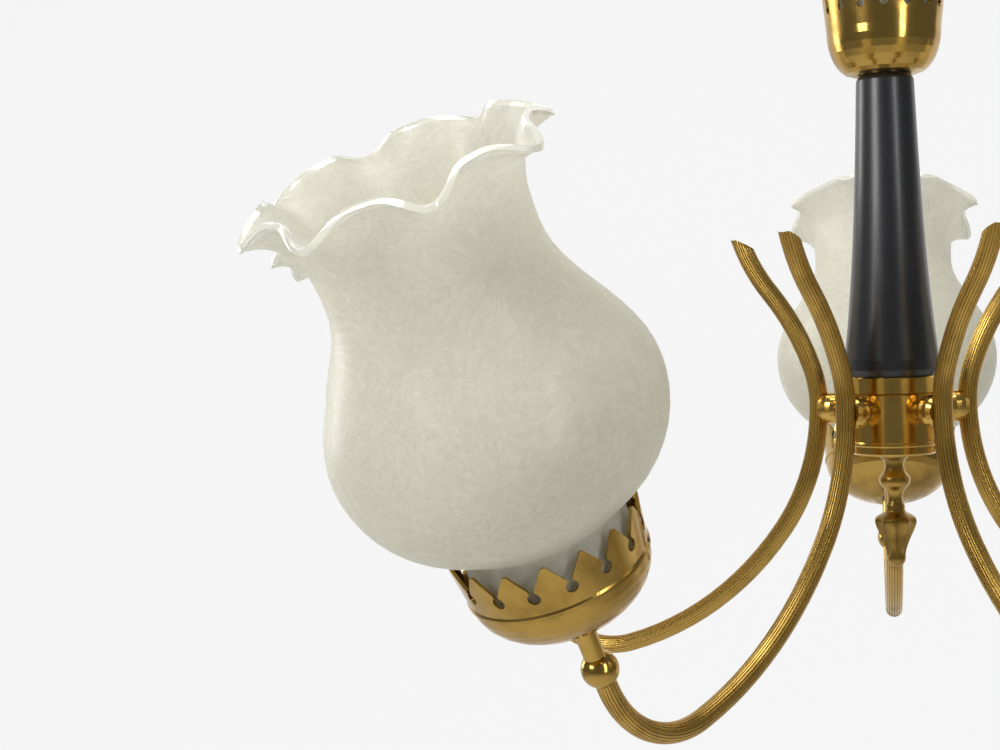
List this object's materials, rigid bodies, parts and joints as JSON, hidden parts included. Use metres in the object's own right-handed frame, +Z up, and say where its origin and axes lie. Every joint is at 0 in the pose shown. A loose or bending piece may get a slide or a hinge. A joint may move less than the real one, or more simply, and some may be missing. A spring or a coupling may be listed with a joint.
{
  "type": "chandelier",
  "caption": "Hanging chandelier with swept reeded brass arms around a brass hub, a black cone stem and tall flared ice-glass shades in toothed brass galleries.",
  "frame": {"origin": "centre of the two ceiling screw holes, on the bracket's top face, where it meets the ceiling", "axes": "+Z up along the stem towards the ceiling, +X along the line of the two screw holes, +Y towards the first arm"},
  "size_m": [0.5948, 0.5713, 0.5137],
  "materials": {
    "polished_brass": "polished, softly aged",
    "reeded_brass": "reeded lengthwise, brown patina in the grooves",
    "cast_brass": "cast and turned, dark patina in the hollows",
    "black_lacquer": "satin black lacquer",
    "ice_glass": "ice-flower frosted, clear polished rim",
    "opal_glass": "opal",
    "nickel_cap": "nickel plated thread",
    "black_plastic": "moulded",
    "white_plastic": "moulded",
    "wire_sheath": "smooth",
    "zinc_steel": "zinc plated"
  },
  "bodies": {
    "frame": {"ceiling_bracket": "zinc_steel", "ceiling_nipple": "zinc_steel", "ceiling_nuts": "zinc_steel", "terminal_block": "white_plastic", "suspension_tube": "polished_brass", "top_crown": "polished_brass", "stem_glass": "ice_glass", "crown": "polished_brass", "cone": "black_lacquer", "centre_tube": "zinc_steel", "centre_nuts": "zinc_steel", "feed_wire": "wire_sheath", "hub_cap": "polished_brass", "hub": "polished_brass", "hub_base": "polished_brass", "hub_terminal": "white_plastic", "finial": "cast_brass", "arm_bosses": "polished_brass", "arm_nipples": "zinc_steel", "arm_locknuts": "zinc_steel", "arm_wires": "wire_sheath", "gallery_stems": "reeded_brass", "arm_1": "reeded_brass", "ball_1": "polished_brass", "gallery_1": "polished_brass", "lampholder_1": "black_plastic", "arm_2": "reeded_brass", "ball_2": "polished_brass", "gallery_2": "polished_brass", "lampholder_2": "black_plastic", "arm_3": "reeded_brass", "ball_3": "polished_brass", "gallery_3": "polished_brass", "lampholder_3": "black_plastic", "arm_4": "reeded_brass", "ball_4": "polished_brass", "gallery_4": "polished_brass", "lampholder_4": "black_plastic", "arm_5": "reeded_brass", "ball_5": "polished_brass", "gallery_5": "polished_brass", "lampholder_5": "black_plastic"},
    "canopy_set": {"canopy": "polished_brass", "canopy_collar": "polished_brass", "collar_screw": "polished_brass"},
    "glass_1": {"shade_1": "ice_glass"},
    "lamp_1": {"bulb_cap_1": "nickel_cap", "bulb_1": "opal_glass"},
    "glass_2": {"shade_2": "ice_glass"},
    "lamp_2": {"bulb_cap_2": "nickel_cap", "bulb_2": "opal_glass"},
    "glass_3": {"shade_3": "ice_glass"},
    "lamp_3": {"bulb_cap_3": "nickel_cap", "bulb_3": "opal_glass"},
    "glass_4": {"shade_4": "ice_glass"},
    "lamp_4": {"bulb_cap_4": "nickel_cap", "bulb_4": "opal_glass"},
    "glass_5": {"shade_5": "ice_glass"},
    "lamp_5": {"bulb_cap_5": "nickel_cap", "bulb_5": "opal_glass"}
  },
  "joints": [
    {"name": "canopy_slide", "type": "slide", "parent": "frame", "child": "canopy_set", "axis": [0, 0, -1], "range_m": [0, 0.055]},
    {"name": "shade_lift_1", "type": "slide", "parent": "frame", "child": "glass_1", "axis": [0, 0.4384, 0.8988], "range_m": [0, 0.1]},
    {"name": "bulb_turn_1", "type": "hinge", "parent": "frame", "child": "lamp_1", "pos_m": [0, 0.20386, -0.42589], "axis": [0, 0.4384, 0.8988], "range_deg": [0, 1080]},
    {"name": "shade_lift_2", "type": "slide", "parent": "frame", "child": "glass_2", "axis": [-0.4169, 0.1355, 0.8988], "range_m": [0, 0.1]},
    {"name": "bulb_turn_2", "type": "hinge", "parent": "frame", "child": "lamp_2", "pos_m": [-0.19388, 0.063, -0.42589], "axis": [-0.4169, 0.1355, 0.8988], "range_deg": [0, 1080]},
    {"name": "shade_lift_3", "type": "slide", "parent": "frame", "child": "glass_3", "axis": [-0.2577, -0.3546, 0.8988], "range_m": [0, 0.1]},
    {"name": "bulb_turn_3", "type": "hinge", "parent": "frame", "child": "lamp_3", "pos_m": [-0.11983, -0.16492, -0.42589], "axis": [-0.2577, -0.3546, 0.8988], "range_deg": [0, 1080]},
    {"name": "shade_lift_4", "type": "slide", "parent": "frame", "child": "glass_4", "axis": [0.2577, -0.3546, 0.8988], "range_m": [0, 0.1]},
    {"name": "bulb_turn_4", "type": "hinge", "parent": "frame", "child": "lamp_4", "pos_m": [0.11983, -0.16492, -0.42589], "axis": [0.2577, -0.3546, 0.8988], "range_deg": [0, 1080]},
    {"name": "shade_lift_5", "type": "slide", "parent": "frame", "child": "glass_5", "axis": [0.4169, 0.1355, 0.8988], "range_m": [0, 0.1]},
    {"name": "bulb_turn_5", "type": "hinge", "parent": "frame", "child": "lamp_5", "pos_m": [0.19388, 0.063, -0.42589], "axis": [0.4169, 0.1355, 0.8988], "range_deg": [0, 1080]}
  ]
}
